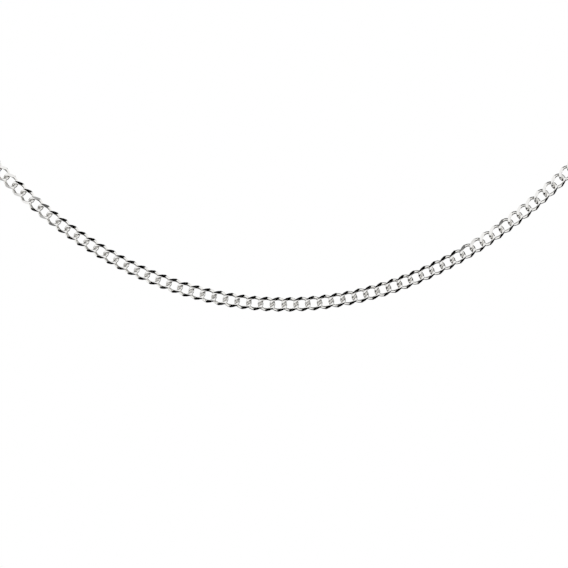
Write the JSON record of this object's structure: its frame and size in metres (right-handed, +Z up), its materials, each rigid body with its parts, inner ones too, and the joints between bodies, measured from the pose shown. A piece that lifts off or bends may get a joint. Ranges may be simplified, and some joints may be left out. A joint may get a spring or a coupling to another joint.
{
  "type": "curb chain necklace",
  "caption": "Fine flat-cut curb chain necklace: twisted oval wire links hook through one another in a closed loop that a plain barrel clasp fastens behind the neck.",
  "frame": {"origin": "where the inner side of the clasp rests on the nape of the neck, in the middle of the clasp", "axes": "+X toward the viewer's right as the wearer faces them, -Y toward the front, +Z up"},
  "size_m": [0.1408, 0.1043, 0.0873],
  "materials": {
    "polished_silver": "sterling silver, cut flat and polished bright"
  },
  "bodies": {
    "root": {"curb_chain_left": "polished_silver", "curb_chain_right": "polished_silver", "clasp": "polished_silver"}
  },
  "joints": []
}
